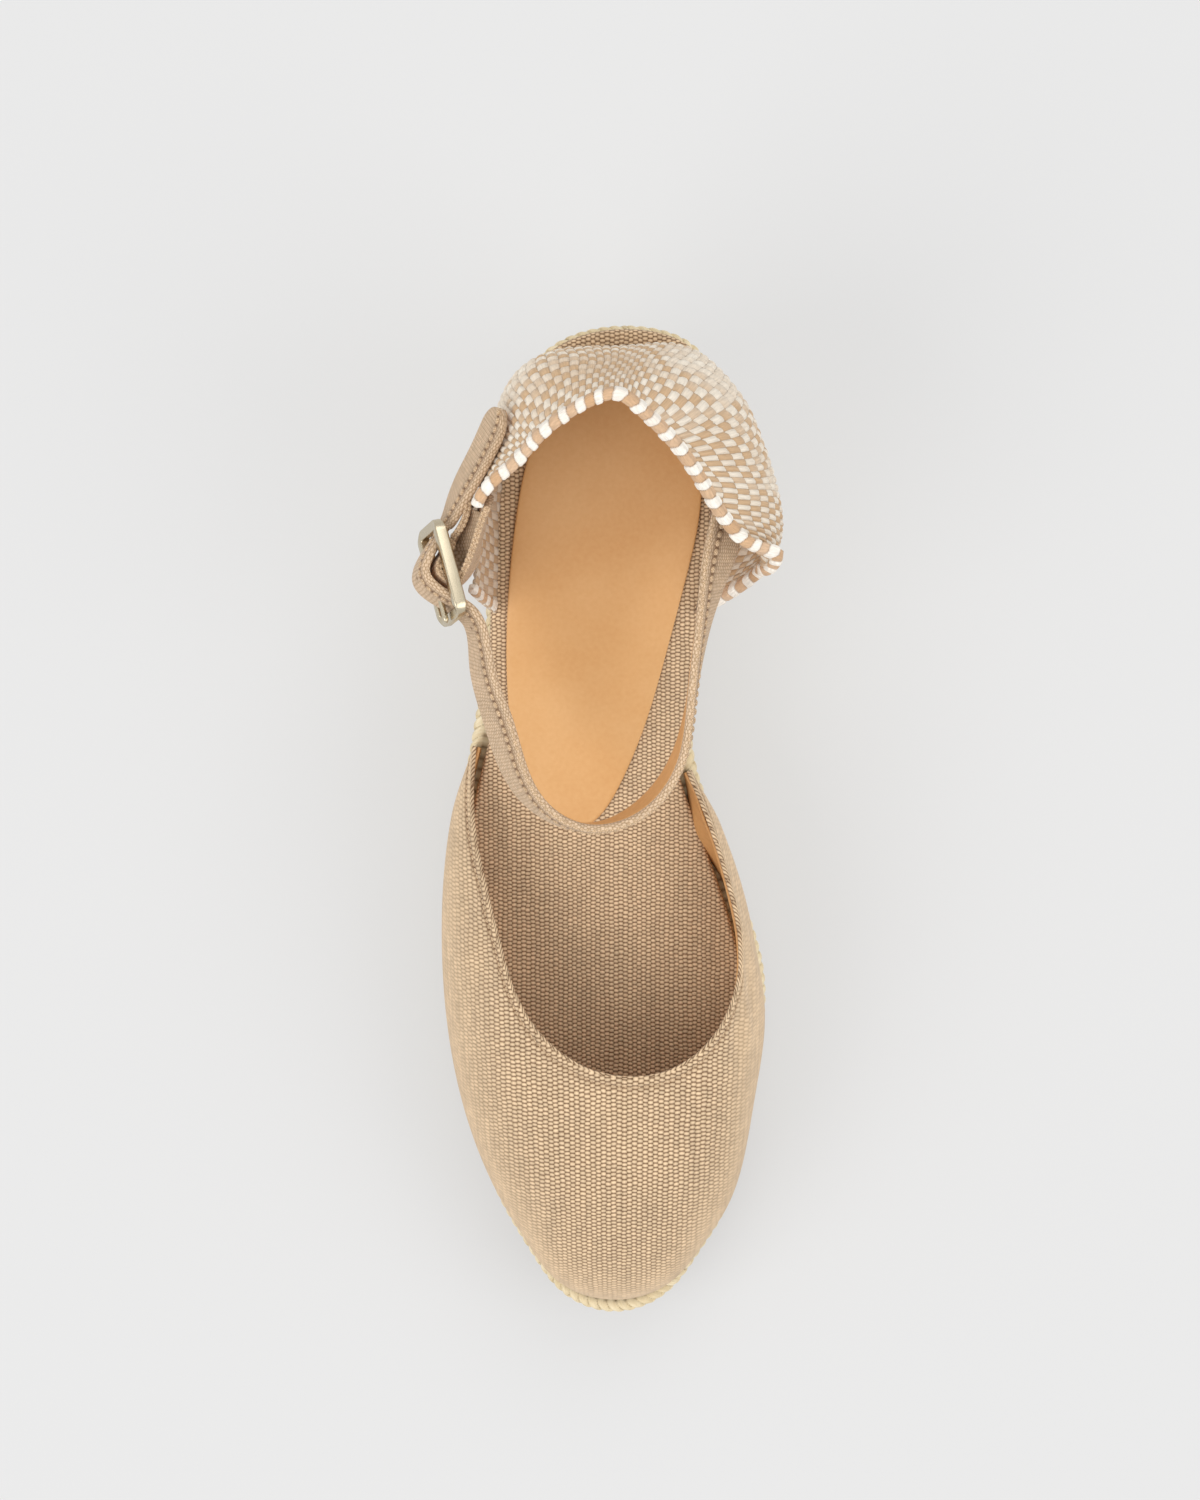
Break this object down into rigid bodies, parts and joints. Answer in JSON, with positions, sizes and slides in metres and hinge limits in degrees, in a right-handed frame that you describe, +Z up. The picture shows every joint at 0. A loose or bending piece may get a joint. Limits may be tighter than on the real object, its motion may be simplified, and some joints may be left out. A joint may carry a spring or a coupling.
{
  "type": "wedge espadrille",
  "caption": "Closed-toe canvas wedge espadrille for the right foot, with a jute-wound wedge sole, a slack woven heel counter and a buckled ankle strap.",
  "frame": {"origin": "on the floor, under the middle of the shoe's box", "axes": "+Z up, toe towards -Y, inner side of the foot towards +X"},
  "size_m": [0.0888, 0.2428, 0.1302],
  "materials": {
    "outsole_rubber": "matte tan rubber",
    "jute": "plaited natural jute",
    "canvas": "coarse plain-weave canvas",
    "tan_leather": "smooth tan lining leather",
    "basket_weave": "white and tan basket weave",
    "pale_gold": "polished pale gold plating"
  },
  "bodies": {
    "root": {"outsole": "outsole_rubber", "wedge": "jute", "platform": "jute", "footbed": "canvas", "sock": "tan_leather", "vamp": "canvas", "counter": "basket_weave", "ankle_strap": "canvas", "buckle_tab": "canvas", "buckle_frame": "pale_gold", "buckle_prong": "pale_gold"}
  },
  "joints": []
}
